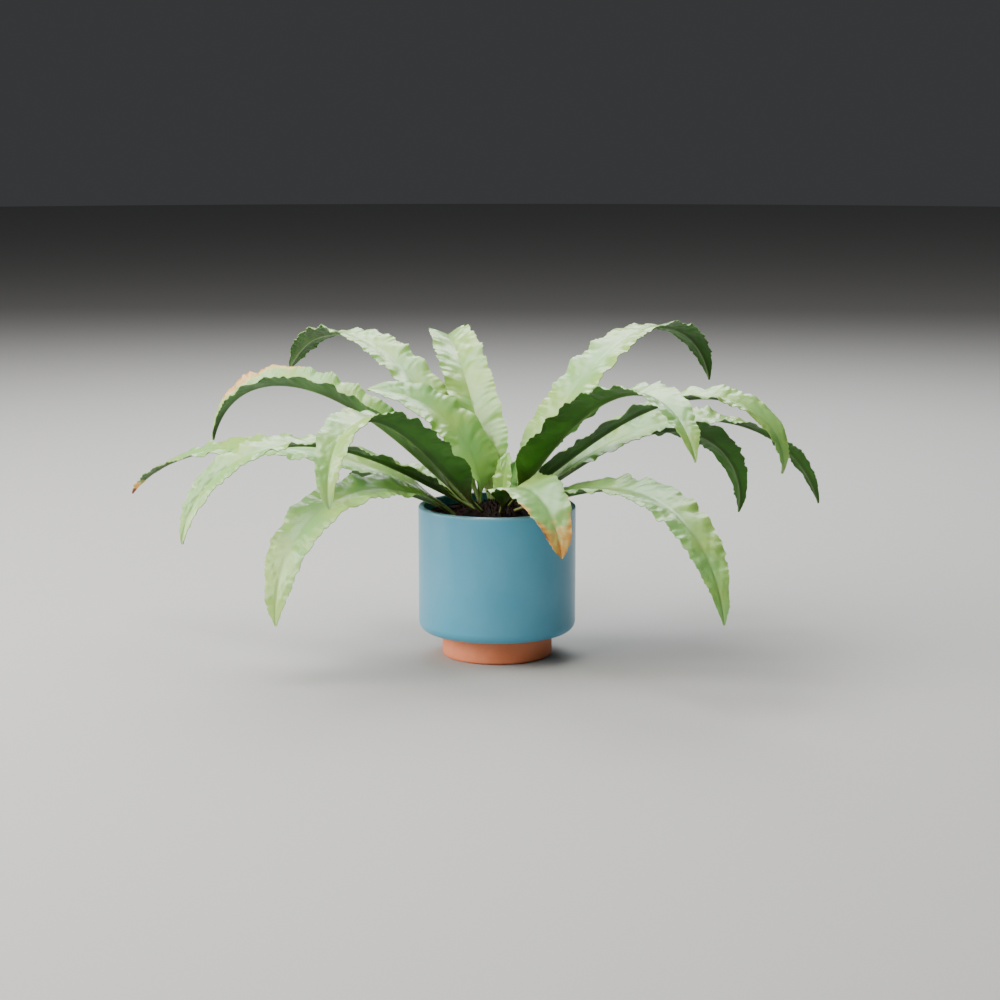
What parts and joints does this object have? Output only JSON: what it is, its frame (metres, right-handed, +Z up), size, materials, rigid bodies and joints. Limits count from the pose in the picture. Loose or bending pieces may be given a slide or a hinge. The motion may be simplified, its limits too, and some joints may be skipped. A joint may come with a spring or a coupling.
{
  "type": "potted fern",
  "caption": "Potted bird's-nest type fern with long waved strap fronds, in a glazed cylindrical pot standing in a terracotta saucer.",
  "frame": {"origin": "centre of the saucer's flat underside", "axes": "+Z up along the pot's axis, -Y towards the front that the picture shows, +X to its right"},
  "size_m": [0.6444, 0.4858, 0.2873],
  "materials": {
    "glaze": "satin blue glaze",
    "terracotta": "unglazed fired clay, fine matt",
    "soil": "dark crumbly potting soil",
    "crown": "brown scaly rhizome",
    "frond": "glossy waved leaf, light green above and darker below, some margins orange-brown"
  },
  "bodies": {
    "root": {"saucer": "terracotta", "pot": "glaze", "soil": "soil", "crown": "crown", "frond_left_back_low": "frond", "frond_left_long": "frond", "frond_left_arch": "frond", "frond_left_front": "frond", "frond_left_front_low": "frond", "frond_left_back_high": "frond", "frond_back_tall": "frond", "frond_left_upright": "frond", "frond_right_back_high": "frond", "frond_right_front": "frond", "frond_right_arch": "frond", "frond_right_back": "frond", "frond_right_low": "frond", "frond_right_front_low": "frond", "frond_front_short": "frond", "frond_back_hidden": "frond", "frond_back_hidden_left": "frond", "frond_back_hidden_right": "frond", "frond_young": "frond", "frond_young_right": "frond"}
  },
  "joints": []
}
